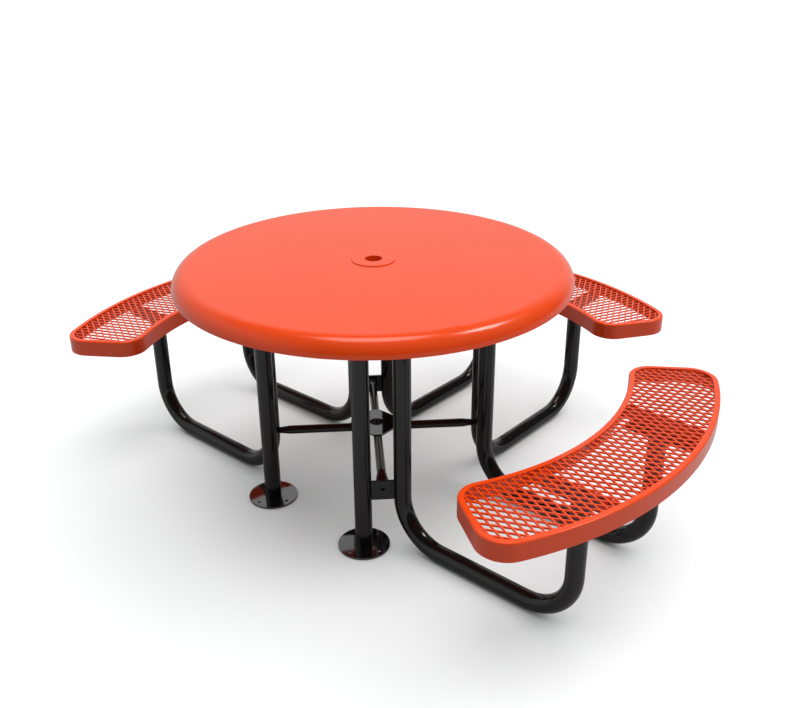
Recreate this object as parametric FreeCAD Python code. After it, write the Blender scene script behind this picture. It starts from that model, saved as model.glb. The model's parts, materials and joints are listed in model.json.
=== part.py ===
import FreeCAD, Part
import math
import os

# Round picnic table with a solid top, three curved expanded-metal seats and one open side.
# Millimetres. +Z is up, and the origin is on the table's axis at floor level.
# Pairs of tubes stand on the X and Y axes, and each seat lies on a diagonal between two pairs.

# Table top: a pressed sheet with a large rounded edge and a lip turned in below it
top_diameter = 1168.0
top_height = 765.0
top_sheet = 4.0
edge_radius = 48.0
edge_lip = 16.0

# Umbrella collar: a raised flange on the top, with a sleeve down through the sheet
umbrella_bore = 51.0
collar_diameter = 130.0
collar_height = 3.0
collar_round = 2.0
sleeve_wall = 3.0
sleeve_length = 50.0
sleeve_clearance = 0.3

# Frame tubes
tube_diameter = 50.8
tube_wall = 3.0
pair_radius = 336.0
pair_spacing = 114.4
bend_radius = 140.0

# Brackets on the tubes' upper ends: channels under the top and angles under the seats
bracket_sheet = 4.0
bracket_depth = 28.0
bracket_clearance = 0.3
top_bracket_overhang = 38.0
seat_bracket_rise = 42.0
seat_bracket_inner_margin = 20.0
seat_bracket_outer_margin = 29.0
seat_stud_inset = 32.0
seat_stud_rise = 23.0

# Fasteners: weld studs, each with a washer and a nut
stud_diameter = 10.0
stud_hole_clearance = 1.0
stud_projection = 4.0
hex_across_flats = 17.0
nut_height = 8.0
washer_diameter = 24.0
washer_thickness = 2.0

# Floor flanges under the two straight posts
anchor_circle = 120.0
anchor_edge = 16.0
anchor_hole = 11.0
anchor_count = 4
flange_thickness = 6.0

# Braces: rods from a short tube under the plate in the middle, their outer ends pressed flat
# and turned down behind upright plates between the tubes
rod_diameter = 26.7
rod_height = 206.0
rod_taper_length = 40.0
rod_tang_length = 18.0
rod_tang_width = 36.0
rod_tang_thickness = 8.0
rod_foot_drop = 28.0
hub_side = 132.5
hub_clip = 13.0
hub_thickness = 6.0
hub_seat_depth = 3.8
plate_height = 62.0
plate_rise = 12.0
plate_thickness = 6.0
plate_hole = 13.0
plate_hole_drop = 14.0

# Seats: a curved rim with a flat band on top, a diamond panel and two cross bars
seat_height = 460.0
seat_inner_radius = 758.0
seat_depth = 252.0
seat_half_angle = 34.4
inner_corner = 70.0
outer_corner = 75.0
rim_height = 51.0
rim_sheet = 4.0
rim_band = 16.0
rim_round = 5.0
panel_thickness = 4.0
panel_clearance = 0.3
panel_border = 4.0
diamond_length = 55.0
diamond_width = 26.0
strand_width = 6.0
cross_bar_thickness = 4.0
seat_leg_setback = 13.0

# Directions of the pairs, in degrees from +X, and the two pairs that each seat lies midway between
pair_angles = {"front": -90.0, "right": 0.0, "back": 90.0, "left": 180.0}
seat_pairs = {
    "right_front": ("front", "right"),
    "right_back": ("right", "back"),
    "left_back": ("back", "left"),
}

# Places that follow from the sizes above
top_radius = top_diameter / 2
tube_radius = tube_diameter / 2
tube_bore = tube_diameter - 2 * tube_wall
rod_radius = rod_diameter / 2
sleeve_radius = umbrella_bore / 2 + sleeve_wall
top_underside = top_height - top_sheet
leg_top = top_underside - bracket_sheet
rim_bottom = seat_height - rim_height
panel_bottom = seat_height - rim_sheet - panel_thickness
seat_leg_top = rim_bottom - bracket_sheet
seat_outer_radius = seat_inner_radius + seat_depth
bracket_width = tube_diameter + 2 * (bracket_clearance + bracket_sheet)
top_bracket_length = pair_spacing + tube_diameter + 2 * top_bracket_overhang
stud_offset = (pair_spacing + tube_diameter + top_bracket_overhang) / 2
leg_along = (pair_radius + pair_spacing / 2) * math.sqrt(0.5)
leg_lateral = (pair_radius - pair_spacing / 2) * math.sqrt(0.5)
hub_bottom = rod_height + rod_radius - hub_seat_depth
span_inner_end = math.sqrt((seat_inner_radius + rim_sheet) ** 2 - leg_lateral ** 2)
span_outer_end = math.sqrt((seat_outer_radius - rim_sheet) ** 2 - leg_lateral ** 2)
seat_leg_along = (span_inner_end + span_outer_end) / 2 - seat_leg_setback
seat_bracket_inner = span_inner_end + seat_bracket_inner_margin
seat_bracket_outer = span_outer_end - seat_bracket_outer_margin
seat_stud_places = (seat_bracket_inner + seat_stud_inset, seat_bracket_outer - seat_stud_inset)
cross_bar_face = leg_lateral + bracket_width / 2 - bracket_sheet

Vector = FreeCAD.Vector
up = Vector(0, 0, 1)
origin = Vector(0, 0, 0)
tolerance = 0.001


def turned(shape, angle):
    return shape.rotated(origin, up, angle)


def line(start, end):
    return Part.LineSegment(start, end).toShape()


def arc(start, middle, end):
    return Part.Arc(start, middle, end).toShape()


def block(x_low, x_high, y_low, y_high, z_low, z_high):
    corner = Vector(x_low, y_low, z_low)
    return Part.makeBox(x_high - x_low, y_high - y_low, z_high - z_low, corner)


def upright_cylinder(diameter, x, y, z_low, z_high):
    return Part.makeCylinder(diameter / 2, z_high - z_low, Vector(x, y, z_low))


def prism(points, z_low, z_high):
    corners = [Vector(x, y, z_low) for x, y in points]
    outline = Part.makePolygon(corners + corners[:1])
    return Part.Face(outline).extrude(up * (z_high - z_low))


def lathe(edges):
    return Part.Face(Part.Wire(edges)).revolve(origin, up, 360)


# Fasteners, each pointing up from the origin with the bracket's sheet between it and the washer
def stud():
    length = bracket_sheet + washer_thickness + nut_height + stud_projection
    return upright_cylinder(stud_diameter, 0, 0, 0, length)


def stud_hole(z_low, z_high):
    return upright_cylinder(stud_diameter + stud_hole_clearance, 0, 0, z_low, z_high)


def washer():
    z_high = bracket_sheet + washer_thickness
    disc = upright_cylinder(washer_diameter, 0, 0, bracket_sheet, z_high)
    return disc.cut(stud_hole(bracket_sheet, z_high))


def nut():
    z_low = bracket_sheet + washer_thickness
    reach = hex_across_flats / math.sqrt(3)
    angles = [math.radians(60 * k) for k in range(6)]
    points = [(reach * math.cos(a), reach * math.sin(a)) for a in angles]
    return prism(points, z_low, z_low + nut_height).cut(stud())


def under_top(shape, side):
    # Pointing down from the top, beside a pair that stands on +X
    placed = shape.rotated(origin, Vector(1, 0, 0), 180)
    placed.translate(Vector(pair_radius, side * stud_offset, top_underside))
    return placed


def beside_bar(shape, hand, x):
    # Pointing away from a seat's middle, from the outer face of a cross bar
    placed = shape.rotated(origin, Vector(1, 0, 0), -90 * hand)
    placed.translate(Vector(x, hand * cross_bar_face, rim_bottom + seat_stud_rise))
    return placed


# Table top and umbrella collar
def table_top():
    hole = sleeve_radius + sleeve_clearance
    centre_x = top_radius - edge_radius
    centre_z = top_height - edge_radius
    inner_radius = edge_radius - top_sheet
    lip_angle = math.asin(top_sheet / inner_radius)
    middle_angle = (lip_angle + math.pi / 2) / 2

    def on_arc(radius, angle):
        return Vector(centre_x + radius * math.cos(angle), 0, centre_z + radius * math.sin(angle))

    corners = [
        Vector(top_radius, 0, centre_z),
        Vector(top_radius - edge_lip, 0, centre_z),
        Vector(top_radius - edge_lip, 0, centre_z + top_sheet),
        on_arc(inner_radius, lip_angle),
    ]
    hole_low = Vector(hole, 0, top_underside)
    hole_high = Vector(hole, 0, top_height)
    edges = [line(hole_high, on_arc(edge_radius, math.pi / 2))]
    edges.append(arc(on_arc(edge_radius, math.pi / 2), on_arc(edge_radius, math.pi / 4), corners[0]))
    edges += [line(a, b) for a, b in zip(corners, corners[1:])]
    edges.append(arc(corners[-1], on_arc(inner_radius, middle_angle), on_arc(inner_radius, math.pi / 2)))
    edges += [line(on_arc(inner_radius, math.pi / 2), hole_low), line(hole_low, hole_high)]
    return lathe(edges)


def umbrella_collar():
    bore = umbrella_bore / 2
    rim = collar_diameter / 2
    z_top = top_height + collar_height
    z_low = z_top - sleeve_length
    diagonal = collar_round * math.sqrt(0.5)
    round_start = Vector(rim - collar_round, 0, z_top)
    round_middle = Vector(rim - collar_round + diagonal, 0, z_top - collar_round + diagonal)
    round_end = Vector(rim, 0, z_top - collar_round)
    corners = [
        round_end,
        Vector(rim, 0, top_height),
        Vector(sleeve_radius, 0, top_height),
        Vector(sleeve_radius, 0, z_low),
        Vector(bore, 0, z_low),
        Vector(bore, 0, z_top),
        round_start,
    ]
    edges = [line(a, b) for a, b in zip(corners, corners[1:])]
    edges.append(arc(round_start, round_middle, round_end))
    return lathe(edges)


# Frame tubes
def bent_path(points, radius):
    edges = []
    start = points[0]
    for before, corner, after in zip(points, points[1:], points[2:]):
        back = (before - corner).normalize()
        ahead = (after - corner).normalize()
        half_angle = back.getAngle(ahead) / 2
        inset = radius / math.tan(half_angle)
        bisector = (back + ahead).normalize()
        middle = corner + bisector * (radius / math.sin(half_angle) - radius)
        edges.append(line(start, corner + back * inset))
        edges.append(arc(corner + back * inset, middle, corner + ahead * inset))
        start = corner + ahead * inset
    edges.append(line(start, points[-1]))
    return Part.Wire(edges)


def seat_leg_solid(hand, radius):
    # One bent leg, in the frame of a seat that lies along +X
    y = hand * leg_lateral
    points = [
        Vector(leg_along, y, leg_top),
        Vector(leg_along, y, tube_radius),
        Vector(seat_leg_along, y, tube_radius),
        Vector(seat_leg_along, y, seat_leg_top),
    ]
    section = Part.Wire(Part.Circle(points[0], up, radius).toShape())
    return bent_path(points, bend_radius).makePipeShell([section], True, False)


def seat_leg(hand):
    return seat_leg_solid(hand, tube_radius).cut(seat_leg_solid(hand, tube_bore / 2))


def post_place(side):
    return Vector(pair_radius, side * pair_spacing / 2, 0)


def post_solid(side, diameter):
    place = post_place(side)
    return upright_cylinder(diameter, place.x, place.y, flange_thickness, leg_top)


def post(side):
    return post_solid(side, tube_diameter).cut(post_solid(side, tube_bore))


def post_flange(side):
    place = post_place(side)
    flange = upright_cylinder(anchor_circle + 2 * anchor_edge, place.x, place.y, 0, flange_thickness)
    for k in range(anchor_count):
        angle = 2 * math.pi * (k + 0.5) / anchor_count
        x = place.x + anchor_circle / 2 * math.cos(angle)
        y = place.y + anchor_circle / 2 * math.sin(angle)
        flange = flange.cut(upright_cylinder(anchor_hole, x, y, 0, flange_thickness))
    return flange


# Brackets on top of the tubes
def top_bracket():
    # An inverted channel across a pair that stands on +X
    reach = top_bracket_length / 2
    half = bracket_width / 2
    inner = half - bracket_sheet
    z_low = top_underside - bracket_depth
    outside = block(pair_radius - half, pair_radius + half, -reach, reach, z_low, top_underside)
    inside = block(pair_radius - inner, pair_radius + inner, -reach, reach, z_low, leg_top)
    bracket = outside.cut(inside)
    for side in (-1, 1):
        bracket = bracket.cut(under_top(stud_hole(0, bracket_sheet), side))
    return bracket


def seat_bracket(hand):
    # An angle on a leg's upper end, its upright side away from the seat's middle
    y = hand * leg_lateral
    half = bracket_width / 2
    inner = hand * cross_bar_face
    outer = inner + hand * bracket_sheet
    ends = (seat_bracket_inner, seat_bracket_outer)
    z_high = seat_leg_top + seat_bracket_rise
    flat_side = block(*ends, y - half, y + half, seat_leg_top, rim_bottom)
    upright = block(*ends, min(inner, outer), max(inner, outer), seat_leg_top, z_high)
    bracket = flat_side.fuse(upright).removeSplitter()
    for x in seat_stud_places:
        bracket = bracket.cut(beside_bar(stud_hole(0, bracket_sheet), hand, x))
    return bracket


# Braces
def hub_outline():
    half_diagonal = hub_side * math.sqrt(0.5)
    tip = half_diagonal - hub_clip
    quarter = [(tip, -hub_clip), (tip, hub_clip)]
    points = []
    for k in range(4):
        c = round(math.cos(k * math.pi / 2))
        s = round(math.sin(k * math.pi / 2))
        points += [(c * x - s * y, s * x + c * y) for x, y in quarter]
    return points


def hub_blank():
    return prism(hub_outline(), hub_bottom, hub_bottom + hub_thickness)


def hub_plate():
    return hub_blank().cut(upright_cylinder(tube_bore, 0, 0, hub_bottom, hub_bottom + hub_thickness))


def hub_tube():
    # A short piece of the frame's tube that takes the umbrella's pole below the plate
    z_low = rod_height - rod_radius
    outside = upright_cylinder(tube_diameter, 0, 0, z_low, hub_bottom)
    return outside.cut(upright_cylinder(tube_bore, 0, 0, z_low, hub_bottom))


def brace_rod():
    # A round rod along +X, cut square at the hub's tube and notched for the plate above it
    ahead = Vector(1, 0, 0)
    end = pair_radius - plate_thickness / 2
    tang = end - rod_tang_length
    stations = [tube_radius, tang - rod_taper_length, tang, end]
    sections = []
    for x in stations[:2]:
        sections.append(Part.Circle(Vector(x, 0, rod_height), ahead, rod_radius))
    for x in stations[2:]:
        centre = Vector(x, 0, rod_height)
        side = centre + Vector(0, rod_tang_width / 2, 0)
        top = centre + Vector(0, 0, rod_tang_thickness / 2)
        sections.append(Part.Ellipse(side, top, centre))
    wires = [Part.Wire(curve.toShape()) for curve in sections]
    rod = Part.makeLoft(wires, True, True)
    half_width = rod_tang_width / 2
    low = rod_height - rod_foot_drop
    foot = block(end - rod_tang_thickness, end, -half_width, half_width, low, rod_height)
    return rod.fuse(foot).cut(hub_blank())


def brace_plate(tubes):
    # An upright plate between the two tubes of a pair on +X, coped to fit round them
    half = plate_thickness / 2
    z_top = rod_height + plate_rise
    side = pair_spacing / 2
    plate = block(pair_radius - half, pair_radius + half, -side, side, z_top - plate_height, z_top)
    hole_start = Vector(pair_radius - half, 0, rod_height - plate_hole_drop)
    plate = plate.cut(Part.makeCylinder(plate_hole / 2, plate_thickness, hole_start, Vector(1, 0, 0)))
    for tube in tubes:
        plate = plate.cut(tube)
    return plate


# Seats, each in the frame of a seat that lies along +X
def corner_centres():
    # Distance along the seat's end, and in from it, of the centres that its corners are rounded about
    outer_along = math.sqrt((seat_outer_radius - outer_corner) ** 2 - outer_corner ** 2)
    inner_along = math.sqrt((seat_inner_radius + inner_corner) ** 2 - inner_corner ** 2)
    return (outer_along, outer_corner), (inner_along, inner_corner)


def end_point(along, inset, hand):
    # A point given along the seat's end and in from it
    a = math.radians(seat_half_angle)
    x = along * math.cos(a) + inset * math.sin(a)
    y = along * math.sin(a) - inset * math.cos(a)
    return Vector(x, hand * y, 0)


def corner_arc(centre, radius, ring_radius, offset, hand):
    # From the straight end to the ring, round one corner
    along, inset = centre
    pivot = end_point(along, inset, hand)
    on_end = end_point(along, offset, hand)
    on_ring = Vector(pivot).normalize() * ring_radius
    towards = ((on_end - pivot) + (on_ring - pivot)).normalize()
    return on_end, pivot + towards * radius, on_ring


def seat_outline(offset):
    outer, inner = corner_centres()
    outer_ring = seat_outer_radius - offset
    inner_ring = seat_inner_radius + offset
    ends = {}
    for hand in (1, -1):
        ends[hand] = (
            corner_arc(outer, outer_corner - offset, outer_ring, offset, hand),
            corner_arc(inner, inner_corner - offset, inner_ring, offset, hand),
        )
    edges = [arc(ends[-1][0][2], Vector(outer_ring, 0, 0), ends[1][0][2])]
    edges += [arc(*reversed(ends[1][0])), line(ends[1][0][0], ends[1][1][0]), arc(*ends[1][1])]
    edges.append(arc(ends[1][1][2], Vector(inner_ring, 0, 0), ends[-1][1][2]))
    edges += [arc(*reversed(ends[-1][1])), line(ends[-1][1][0], ends[-1][0][0]), arc(*ends[-1][0])]
    return Part.Wire(edges)


def seat_block(offset, z_low, z_high):
    solid = Part.Face(seat_outline(offset)).extrude(up * (z_high - z_low))
    solid.translate(up * z_low)
    return solid


def seat_rim():
    outside = seat_block(0, rim_bottom, seat_height)
    top_edges = [e for e in outside.Edges if all(v.Z > seat_height - tolerance for v in e.Vertexes)]
    outside = outside.makeFillet(rim_round, top_edges)
    under_band = seat_block(rim_sheet, rim_bottom, seat_height - rim_sheet)
    window = seat_block(rim_band, rim_bottom, seat_height)
    return outside.cut(under_band).cut(window)


def inside_seat(x, y, margin):
    radius = math.hypot(x, y)
    if radius < seat_inner_radius + margin or radius > seat_outer_radius - margin:
        return False
    a = math.radians(seat_half_angle)
    along = x * math.cos(a) + abs(y) * math.sin(a)
    inset = x * math.sin(a) - abs(y) * math.cos(a)
    if inset < margin:
        return False
    outer, inner = corner_centres()
    if along > outer[0] and inset < outer[1]:
        return math.hypot(along - outer[0], inset - outer[1]) < outer_corner - margin
    if along < inner[0] and inset < inner[1]:
        return math.hypot(along - inner[0], inset - inner[1]) < inner_corner - margin
    return True


def diamond_gaps(margin):
    # Diamonds in staggered rows, their long way along the seat's depth
    half_angle = math.atan2(diamond_width, diamond_length)
    half_length = (diamond_length - strand_width / math.sin(half_angle)) / 2
    half_width = (diamond_width - strand_width / math.cos(half_angle)) / 2
    middle = seat_inner_radius + seat_depth / 2
    rows = math.ceil(2 * seat_outer_radius / diamond_width)
    steps = math.ceil(2 * seat_depth / diamond_length)
    gaps = []
    for j in range(-rows, rows + 1):
        # The seat's ends curve back, so the rows run further that way
        for i in range(-2 * steps, steps + 1):
            if (i + j) % 2:
                continue
            x = middle + i * diamond_length / 2
            y = j * diamond_width / 2
            corners = [(x + half_length, y), (x, y + half_width), (x - half_length, y), (x, y - half_width)]
            if all(inside_seat(px, py, margin) for px, py in corners):
                points = [Vector(px, py, 0) for px, py in corners]
                gaps.append(Part.makePolygon(points + points[:1]))
    return gaps


def seat_panel():
    edge = rim_sheet + panel_clearance
    panel = Part.Face([seat_outline(edge)] + diamond_gaps(edge + panel_border))
    panel = panel.extrude(up * panel_thickness)
    panel.translate(up * panel_bottom)
    return panel


def seat_cross_bar(hand):
    # A flat bar on edge from the inner rim to the outer rim, against the bracket's upright side
    outer = hand * cross_bar_face
    inner = outer - hand * cross_bar_thickness
    sides = (min(inner, outer), max(inner, outer))
    bar = block(0, seat_outer_radius, *sides, rim_bottom, panel_bottom)
    return bar.common(seat_block(rim_sheet, rim_bottom, panel_bottom))


def save(name, shape):
    shape.exportStep(f"parts/{name}.step")


os.makedirs("parts", exist_ok=True)
save("table_top", table_top())
save("umbrella_collar", umbrella_collar())
save("hub_plate", hub_plate())
save("hub_tube", hub_tube())

# The two straight posts stand at the open side, one in each pair beside it
tube_solids = {}
for name, side in (("front", -1), ("left", 1)):
    save(f"{name}_post", turned(post(side), pair_angles[name]))
    save(f"{name}_post_flange", turned(post_flange(side), pair_angles[name]))
    tube_solids[f"{name}_post"] = turned(post_solid(side, tube_diameter), pair_angles[name])

fasteners = {"studs": stud(), "washers": washer(), "nuts": nut()}
seat_groups = {word: [] for word in fasteners}
top_groups = {word: [] for word in fasteners}

for name, (first, second) in seat_pairs.items():
    angle = (pair_angles[first] + pair_angles[second]) / 2
    save(f"{name}_seat_rim", turned(seat_rim(), angle))
    save(f"{name}_seat_panel", turned(seat_panel(), angle))
    for side, hand in (("left", -1), ("right", 1)):
        save(f"{name}_seat_cross_bar_{side}", turned(seat_cross_bar(hand), angle))
        save(f"{name}_seat_bracket_{side}", turned(seat_bracket(hand), angle))
        save(f"{name}_leg_{side}", turned(seat_leg(hand), angle))
        tube_solids[f"{name}_leg_{side}"] = turned(seat_leg_solid(hand, tube_radius), angle)
        for x in seat_stud_places:
            for word, shape in fasteners.items():
                seat_groups[word].append(turned(beside_bar(shape, hand, x), angle))

for name, angle in pair_angles.items():
    save(f"{name}_top_bracket", turned(top_bracket(), angle))
    save(f"{name}_brace_rod", turned(brace_rod(), angle))
    tubes = [turned(tube, -angle) for tube in tube_solids.values()]
    save(f"{name}_brace_plate", turned(brace_plate(tubes), angle))
    for side in (-1, 1):
        for word, shape in fasteners.items():
            top_groups[word].append(turned(under_top(shape, side), angle))

for word in fasteners:
    save(f"seat_{word}", Part.makeCompound(seat_groups[word]))
    save(f"top_{word}", Part.makeCompound(top_groups[word]))
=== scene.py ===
import bpy
import bmesh
import json
import math
from mathutils import Matrix, Vector


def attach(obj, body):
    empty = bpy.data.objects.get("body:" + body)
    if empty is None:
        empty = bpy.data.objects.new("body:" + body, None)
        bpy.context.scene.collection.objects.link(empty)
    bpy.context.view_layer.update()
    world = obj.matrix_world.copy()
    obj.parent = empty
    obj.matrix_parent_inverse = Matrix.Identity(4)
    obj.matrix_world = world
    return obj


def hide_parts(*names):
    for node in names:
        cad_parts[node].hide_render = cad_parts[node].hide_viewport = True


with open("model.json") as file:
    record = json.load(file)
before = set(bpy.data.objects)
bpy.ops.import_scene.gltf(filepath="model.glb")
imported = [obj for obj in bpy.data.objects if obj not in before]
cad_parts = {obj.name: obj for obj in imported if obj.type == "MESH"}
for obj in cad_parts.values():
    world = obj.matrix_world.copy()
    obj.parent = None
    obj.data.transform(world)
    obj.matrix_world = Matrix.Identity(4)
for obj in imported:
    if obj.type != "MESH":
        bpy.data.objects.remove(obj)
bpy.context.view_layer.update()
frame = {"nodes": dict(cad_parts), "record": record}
nodes = frame["nodes"]
scene = bpy.context.scene
scene.view_settings.view_transform = "Standard"
print("frame:", len(nodes), "nodes")


# camera, as it stood for the photo
shot = {
    "place": (-0.10246, -2.58892, 1.67974),  # metres
    "azimuth": -3.94,  # degrees
    "elevation": 25.25,
    "roll": -0.44,
    "lens": 42.06,  # mm
    "sensorWidth": 36,
}
cameraData = bpy.data.cameras.new("photoCamera")
cameraData.sensor_fit = "HORIZONTAL"
cameraData.sensor_width = shot["sensorWidth"]
cameraData.lens = shot["lens"]
camera = bpy.data.objects.new("photoCamera", cameraData)
scene.collection.objects.link(camera)
swing = Matrix.Rotation(math.radians(shot["azimuth"]), 4, "Z")
tilt = Matrix.Rotation(math.radians(90 - shot["elevation"]), 4, "X")
roll = Matrix.Rotation(math.radians(shot["roll"]), 4, "Z")
camera.matrix_world = Matrix.Translation(shot["place"]) @ swing @ tilt @ roll
scene.camera = camera
print("camera set")


# small helpers
def hexColour(text):
    # sRGB hex to linear
    values = [int(text[i:i + 2], 16) / 255 for i in (1, 3, 5)]
    linear = [v / 12.92 if v <= 0.04045 else ((v + 0.055) / 1.055) ** 2.4 for v in values]
    return (*linear, 1.0)


def addNode(tree, kind, settings={}, inputs={}):
    # an input is a value, or the socket that feeds it
    node = tree.nodes.new(kind)
    for name, value in settings.items():
        setattr(node, name, value)
    for name, value in inputs.items():
        if isinstance(value, bpy.types.NodeSocket):
            tree.links.new(value, node.inputs[name])
        else:
            node.inputs[name].default_value = value
    return node


def newMaterial(name):
    material = bpy.data.materials.new(name)
    material.use_nodes = True
    material.node_tree.nodes.clear()
    return material, material.node_tree


def perMetre(millimetres):
    return 1000 / millimetres  # noise scale for a pattern this wide


def addPiece(name, mesh):
    piece = bpy.data.objects.new(name, mesh)
    scene.collection.objects.link(piece)
    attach(piece, "root")
    return piece


# thermoplastic coat, dipped and baked on steel: deep even colour, soft gloss and a faint ripple
orangeLook = {
    "colour": "#ed470d",
    "cloudColour": "#f04c12",
    "cloud": 160,  # mm, slow change of tone across the sheet
    "cloudDetail": 3.0,
    "grain": 9,  # mm, the ripple, really 2 to 3 mm but that is under a pixel here
    "grainDetail": 1.0,
    "bump": {"Strength": 0.05, "Distance": 0.0006},
    "roughness": (0.15, 0.22),
    "shader": {"IOR": 1.5},
}
# powder coat, sprayed dry and baked: near black, glossy, with a fine peel
blackLook = {
    "colour": "#0d0d0e",
    "cloudColour": "#151516",  # a trace of dust
    "cloud": 90,
    "cloudDetail": 4.0,
    "grain": 7,  # mm, the peel, really about 1.5 mm but drawn wider to show
    "grainDetail": 1.0,
    "bump": {"Strength": 0.04, "Distance": 0.0004},
    "roughness": (0.10, 0.17),
    "shader": {"IOR": 1.5},
}
# the same coat on flat plates, where it has flowed out to a mirror
plateLook = {**blackLook, "roughness": (0.03, 0.06), "shader": {"IOR": 2.5}}
# zinc plate on studs, nuts and washers: pale grey metal with cloudy, slightly blue patches
zincLook = {
    "colour": "#b9bcc0",
    "cloudColour": "#9aa3ad",
    "cloud": 6,  # mm
    "cloudDetail": 5.0,
    "grain": 1.2,
    "grainDetail": 2.0,
    "bump": {"Strength": 0.1, "Distance": 0.0001},
    "roughness": (0.28, 0.45),
    "shader": {"Metallic": 1.0},
}


def makeFinish(name, look):
    material, tree = newMaterial(name)
    place = addNode(tree, "ShaderNodeTexCoord").outputs["Object"]
    cloud, grain = [
        addNode(tree, "ShaderNodeTexNoise", inputs={
            "Vector": place,
            "Scale": perMetre(look[pattern]),
            "Detail": look[pattern + "Detail"],
        }).outputs["Fac"]
        for pattern in ("cloud", "grain")
    ]
    tone = addNode(tree, "ShaderNodeMix", {"data_type": "RGBA"}, {
        "Factor": cloud,
        6: hexColour(look["colour"]),  # a colour mix has A and B at 6 and 7, and its result at 2
        7: hexColour(look["cloudColour"]),
    }).outputs[2]
    low, high = look["roughness"]
    gloss = addNode(tree, "ShaderNodeMapRange", inputs={
        "Value": cloud, "To Min": low, "To Max": high,
    }).outputs["Result"]
    bump = addNode(tree, "ShaderNodeBump", inputs={"Height": grain, **look["bump"]}).outputs["Normal"]
    surface = addNode(tree, "ShaderNodeBsdfPrincipled", inputs={
        "Base Color": tone, "Roughness": gloss, "Normal": bump, **look["shader"],
    }).outputs["BSDF"]
    addNode(tree, "ShaderNodeOutputMaterial", inputs={"Surface": surface})
    return material


finishes = {
    "orange_coating": makeFinish("thermoplasticCoatOrange", orangeLook),
    "black_coating": makeFinish("powderCoatBlack", blackLook),
    "zinc_fasteners": makeFinish("zincPlatedSteel", zincLook),
}
for part in frame["record"]["subparts"]:
    node = nodes[part["node"]]
    node.data.materials.clear()
    node.data.materials.append(finishes[part["material_slot"]])
plateCoat = makeFinish("powderCoatBlackPlate", plateLook)
for name in ("hub_plate", "front_post_flange", "left_post_flange"):
    nodes[name].data.materials[0] = plateCoat
print("finishes on", len(nodes), "nodes")


# seat panels of expanded steel, cut to the inside of the rims
seatShape = {  # the rim, in metres and degrees
    "inner": 0.758,
    "outer": 1.010,
    "halfAngle": 34.4,
    "innerCorner": 0.070,
    "outerCorner": 0.075,
    "wall": 0.0043,
}
expandedSteel = {  # metres and degrees
    "longPitch": 0.0452,
    "shortPitch": 0.02177,
    "strand": 0.0041,
    "thick": 0.0042,
    "coat": 0.0006,  # the dip rounds every edge this much
    "top": 0.456,
    "merge": 0.0003,  # cut corners nearer than this are one
    "sliver": 1.25,  # cells narrower than this many strands stay closed
    "seats": {  # which way each seat faces, and where its diamonds start
        "right_front": {"turn": -45, "slip": (0.0117, -0.0077)},
        "right_back": {"turn": 45, "slip": (-0.0098, -0.0015)},
        "left_back": {"turn": 135, "slip": (-0.0063, 0.0003)},
    },
}


def rimGap(point):
    # how far a point is inside the rim, and the way out to it
    inner, innerCorner = seatShape["inner"], seatShape["innerCorner"]
    outer, outerCorner = seatShape["outer"], seatShape["outerCorner"]
    wall = seatShape["wall"]
    angle = math.radians(seatShape["halfAngle"])
    side = 1 if point.y >= 0 else -1
    endWay = Vector((-math.sin(angle), side * math.cos(angle), 0))
    alongWay = Vector((math.cos(angle), side * math.sin(angle), 0))
    along = point.dot(alongWay)
    inset = -point.dot(endWay)
    outerAlong = math.sqrt((outer - outerCorner) ** 2 - outerCorner ** 2)
    innerAlong = math.sqrt((inner + innerCorner) ** 2 - innerCorner ** 2)
    for corner, centre, beyond in (
        (outerCorner, outerAlong, along > outerAlong),
        (innerCorner, innerAlong, along < innerAlong),
    ):
        if beyond and inset < corner:
            away = point - (alongWay * centre - endWay * corner)
            return corner - wall - away.length, away.normalized()
    radial = point.normalized()
    choices = [
        (outer - wall - point.length, radial),
        (point.length - inner - wall, -radial),
        (inset - wall, endWay),
    ]
    return min(choices, key=lambda choice: choice[0])


def wholeOf(bm):
    return bm.verts[:] + bm.edges[:] + bm.faces[:]


def vertsIn(geometry):
    return [item for item in geometry if isinstance(item, bmesh.types.BMVert)]


def makeDiamonds(slip):
    # two sets of diamonds that fill the seat and more, with their long way outwards
    longPitch, shortPitch = expandedSteel["longPitch"], expandedSteel["shortPitch"]
    inner, outer = seatShape["inner"], seatShape["outer"]
    angle = math.radians(seatShape["halfAngle"])
    middle = (inner + outer) / 2
    inwards = math.ceil((middle - inner * math.cos(angle)) / longPitch) + 1
    outwards = math.ceil((outer - middle) / longPitch) + 1
    sideways = math.ceil(outer * math.sin(angle) / shortPitch) + 1

    bm = bmesh.new()
    bmesh.ops.create_circle(bm, cap_ends=True, segments=4, radius=0.5)
    bmesh.ops.scale(bm, vec=(longPitch, shortPitch, 1), verts=bm.verts[:])
    start = (middle - inwards * longPitch + slip[0], slip[1] - sideways * shortPitch, 0)
    bmesh.ops.translate(bm, vec=start, verts=bm.verts[:])
    for step, count in (
        ((longPitch, 0, 0), inwards + outwards),
        ((0, shortPitch, 0), 2 * sideways),
    ):
        bmesh.ops.spin(
            bm, geom=wholeOf(bm), cent=(0, 0, 0), axis=(0, 0, 1), dvec=step,
            angle=0, steps=count, use_duplicate=True,
        )
    copy = bmesh.ops.duplicate(bm, geom=wholeOf(bm))["geom"]
    bmesh.ops.translate(bm, vec=(longPitch / 2, shortPitch / 2, 0), verts=vertsIn(copy))
    return bm


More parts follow.
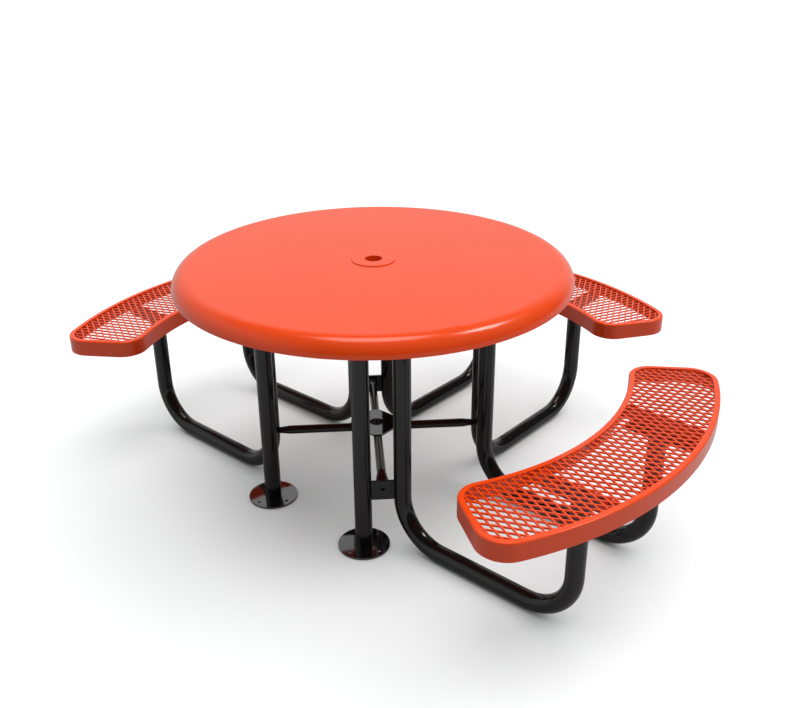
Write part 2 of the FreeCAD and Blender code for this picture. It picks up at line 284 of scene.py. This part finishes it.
def trimToRim(bm):
    reach = expandedSteel["longPitch"] / 2
    outside, crossing = [], []
    for face in bm.faces:
        centre = face.calc_center_median()
        gap, way = rimGap(centre)
        if gap < -reach:
            outside.append(face)
        elif gap < reach:
            crossing.append((face, centre + way * gap, way))
    bmesh.ops.delete(bm, geom=outside, context="FACES")
    for face, edge, way in crossing:
        cell = [face, *face.edges, *face.verts]
        bmesh.ops.bisect_plane(bm, geom=cell, plane_co=edge, plane_no=way, clear_outer=True)
    bmesh.ops.remove_doubles(bm, verts=bm.verts[:], dist=expandedSteel["merge"])


def openCells(bm):
    half = expandedSteel["strand"] / 2
    cells = []
    for face in bm.faces:
        reach = 2 * face.calc_area() / face.calc_perimeter()
        if reach > half * expandedSteel["sliver"]:
            cells.append(face)
    bmesh.ops.inset_individual(bm, faces=cells, thickness=half, use_even_offset=True)
    bmesh.ops.delete(bm, geom=cells, context="FACES_ONLY")


def pinchedCorners(bm):
    return [v for v in bm.verts if v.link_faces and not v.is_manifold]


def dropScraps(bm):
    # scraps of the trimming that are folded over, or hang on by one corner or by nothing
    bm.normal_update()
    facesUp = sum(face.normal.z for face in bm.faces) > 0
    folded = [face for face in bm.faces if (face.normal.z > 0) != facesUp]
    bmesh.ops.delete(bm, geom=folded, context="FACES")
    while pinchedCorners(bm):
        smallest = [
            min(v.link_faces, key=lambda face: face.calc_area()) for v in pinchedCorners(bm)
        ]
        bmesh.ops.delete(bm, geom=list(dict.fromkeys(smallest)), context="FACES")
    islands = []
    waiting = dict.fromkeys(bm.faces)
    while waiting:
        island, growing = [], [waiting.popitem()[0]]
        while growing:
            face = growing.pop()
            island.append(face)
            for other in [other for edge in face.edges for other in edge.link_faces]:
                if other in waiting:
                    del waiting[other]
                    growing.append(other)
        islands.append(island)
    islands.sort(key=len)
    for island in islands[:-1]:
        bmesh.ops.delete(bm, geom=island, context="FACES")
    looseEdges = [edge for edge in bm.edges if not edge.link_faces]
    bmesh.ops.delete(bm, geom=looseEdges, context="EDGES")
    looseVerts = [v for v in bm.verts if not v.link_edges]
    bmesh.ops.delete(bm, geom=looseVerts, context="VERTS")


def makeSheet(slip):
    bm = makeDiamonds(slip)
    trimToRim(bm)
    openCells(bm)
    dropScraps(bm)
    bmesh.ops.translate(bm, vec=(0, 0, expandedSteel["top"]), verts=bm.verts[:])
    below = bmesh.ops.extrude_face_region(bm, geom=wholeOf(bm), use_keep_orig=True)["geom"]
    bmesh.ops.translate(bm, vec=(0, 0, -expandedSteel["thick"]), verts=vertsIn(below))
    bmesh.ops.recalc_face_normals(bm, faces=bm.faces[:])
    for face in bm.faces:
        face.smooth = True
    return bm


def makePanels():
    for name, seat in expandedSteel["seats"].items():
        sheet = makeSheet(seat["slip"])
        mesh = bpy.data.meshes.new(name + "_expanded_steel")
        sheet.to_mesh(mesh)
        sheet.free()
        mesh.transform(Matrix.Rotation(math.radians(seat["turn"]), 4, "Z"))
        mesh.materials.append(finishes["orange_coating"])
        panel = addPiece(name + "_expanded_steel", mesh)
        rounding = panel.modifiers.new("coatRounding", "BEVEL")
        rounding.width = expandedSteel["coat"]
        rounding.segments = 1
        rounding.limit_method = "ANGLE"
        rounding.harden_normals = True
        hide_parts(name + "_seat_panel")
        print("panel:", name, len(mesh.polygons), "faces before rounding")


makePanels()


# white floor, pale sky and two soft boxes, one overhead and one high on the right
studio = {
    "floorReach": 60,  # metres each way
    "floorDrop": 0.0005,  # clear of the table's feet
    "floorColour": (0.883, 0.866, 0.867),
    "floorMirror": (0.50, 0.50, 0.50),  # the floor as shiny surfaces show it
    "floorBounce": (0.29, 0.29, 0.29),  # what the floor sends back up as diffuse light
    "floorPaintedGlow": (0.084, 0.13, 0.131),  # a painted glow on the floor that lightens its shadows and tints them cool against the table's warm light
    "paintedContactShadeReach": 0.05,  # metres from the feet, and so in their anchor holes, in which that painted glow fades: painted contact shade
    "paintedContactShadeSamples": 8,
    "skyLight": (0.30, 1.03),  # at the horizon and overhead
    "skyLean": (0.50, 0.76, 0.0),  # more of that comes from behind and from the right
    "skyMirror": (0.06, 0.63),  # as shiny surfaces show it: dark room, white backdrop
    "backdropTop": (0.78, 0.55),  # the backdrop fades in from here to here, going down
    "backdropBehind": (0.35, 0.85),  # going back
    "backdropLeft": (-0.45, -0.85),  # and going left, where it has no top
    "boxEdge": 0.02,  # radians, half the soft rim of a mirrored box
}
softBoxes = {  # spread in degrees
    "overhead": {"towards": (0.0, -0.22, 0.975), "strength": 0.95, "spread": 34},
    "right": {"towards": (0.56, 0.10, 0.82), "strength": 0.68, "spread": 42},
}
boxMirrors = {  # the boxes as shiny surfaces show them
    "overhead": {"towards": (0.0, 0.17, 0.98), "strength": 4.7, "spread": 28},
    "right": {"towards": (0.54, 0.12, 0.835), "strength": 14, "spread": 15},
}


def makeFloor():
    bm = bmesh.new()
    bmesh.ops.create_grid(bm, x_segments=1, y_segments=1, size=studio["floorReach"])
    bmesh.ops.translate(bm, vec=(0, 0, -studio["floorDrop"]), verts=bm.verts[:])
    mesh = bpy.data.meshes.new("studioFloor")
    bm.to_mesh(mesh)
    bm.free()
    floor = bpy.data.objects.new("studioFloor", mesh)
    scene.collection.objects.link(floor)
    material, tree = newMaterial("mattPaperFloor")
    path = addNode(tree, "ShaderNodeLightPath").outputs
    shown, mirrored, bounced = [
        addNode(tree, "ShaderNodeBsdfDiffuse", inputs={"Color": (*studio[use], 1)}).outputs[0]
        for use in ("floorColour", "floorMirror", "floorBounce")
    ]
    # painted contact shade: ambient occlusion fades the glow near the feet and in the anchor holes
    paintedContactShade = addNode(
        tree, "ShaderNodeAmbientOcclusion",
        {"samples": studio["paintedContactShadeSamples"]}, {"Distance": studio["paintedContactShadeReach"]},
    ).outputs["AO"]
    # painted glow, seen by the camera only, that lifts the floor and its shadows
    paintedGlow = addNode(tree, "ShaderNodeEmission", inputs={
        "Color": (*studio["floorPaintedGlow"], 1), "Strength": paintedContactShade,
    }).outputs[0]
    shown = addNode(tree, "ShaderNodeAddShader", inputs={0: shown, 1: paintedGlow}).outputs[0]
    for ray, paper in (("Is Glossy Ray", mirrored), ("Is Diffuse Ray", bounced)):
        choice = {0: path[ray], 1: shown, 2: paper}
        shown = addNode(tree, "ShaderNodeMixShader", inputs=choice).outputs[0]
    addNode(tree, "ShaderNodeOutputMaterial", inputs={"Surface": shown})
    mesh.materials.append(material)


def makeSky():
    world = bpy.data.worlds.new("studioSky")
    scene.world = world
    world.use_nodes = True
    tree = world.node_tree
    tree.nodes.clear()
    path = addNode(tree, "ShaderNodeLightPath").outputs
    way = addNode(tree, "ShaderNodeTexCoord").outputs["Generated"]
    parts = addNode(tree, "ShaderNodeSeparateXYZ", inputs={0: way}).outputs
    soft = {"interpolation_type": "SMOOTHSTEP"}

    # for shiny surfaces: the backdrop in the dark room, then the boxes over it
    dark, pale = studio["skyMirror"]
    start, end = studio["backdropTop"]
    mirror = addNode(tree, "ShaderNodeMapRange", soft, {
        "Value": parts["Z"], "From Min": start, "From Max": end, "To Min": dark, "To Max": pale,
    }).outputs["Result"]
    start, end = studio["backdropBehind"]
    mirror = addNode(tree, "ShaderNodeMapRange", soft, {
        "Value": parts["Y"], "From Min": start, "From Max": end, "To Min": dark, "To Max": mirror,
    }).outputs["Result"]
    start, end = studio["backdropLeft"]
    mirror = addNode(tree, "ShaderNodeMapRange", soft, {
        "Value": parts["X"], "From Min": start, "From Max": end, "To Min": mirror, "To Max": pale,
    }).outputs["Result"]
    for box in boxMirrors.values():
        rim = math.radians(box["spread"] / 2)
        across = addNode(tree, "ShaderNodeVectorMath", {"operation": "DOT_PRODUCT"}, {
            0: way, 1: Vector(box["towards"]).normalized(),
        }).outputs["Value"]
        mirror = addNode(tree, "ShaderNodeMapRange", soft, {
            "Value": across,
            "From Min": math.cos(rim + studio["boxEdge"]),
            "From Max": math.cos(rim - studio["boxEdge"]),
            "To Min": mirror,
            "To Max": box["strength"],
        }).outputs["Result"]

    # for all else: brighter overhead, and leaning to one side
    horizon, zenith = studio["skyLight"]
    light = addNode(tree, "ShaderNodeMapRange", inputs={
        "Value": parts["Z"], "To Min": horizon, "To Max": zenith,
    }).outputs["Result"]
    lean = addNode(tree, "ShaderNodeVectorMath", {"operation": "DOT_PRODUCT"}, {
        0: way, 1: studio["skyLean"],
    }).outputs["Value"]
    light = addNode(tree, "ShaderNodeMath", {"operation": "MULTIPLY_ADD"}, {
        0: light, 1: lean, 2: light,
    }).outputs[0]
    level = addNode(tree, "ShaderNodeMapRange", inputs={
        "Value": path["Is Glossy Ray"], "To Min": light, "To Max": mirror,
    }).outputs["Result"]
    seen = addNode(tree, "ShaderNodeMath", {"operation": "MAXIMUM"}, {
        0: level, 1: path["Is Camera Ray"],  # at least white to the camera
    }).outputs[0]
    sky = addNode(tree, "ShaderNodeBackground", inputs={"Color": (1, 1, 1, 1), "Strength": seen})
    addNode(tree, "ShaderNodeOutputWorld", inputs={"Surface": sky.outputs[0]})


def makeLamps():
    for name, box in softBoxes.items():
        lampData = bpy.data.lights.new("softBox_" + name, "SUN")
        lampData.energy = box["strength"]
        lampData.angle = math.radians(box["spread"])
        lamp = bpy.data.objects.new("softBox_" + name, lampData)
        lamp.rotation_euler = Vector(box["towards"]).to_track_quat("Z", "Y").to_euler()
        lamp.visible_glossy = False  # boxMirrors stand in for it
        scene.collection.objects.link(lamp)


makeFloor()
makeSky()
makeLamps()
print("studio lit")
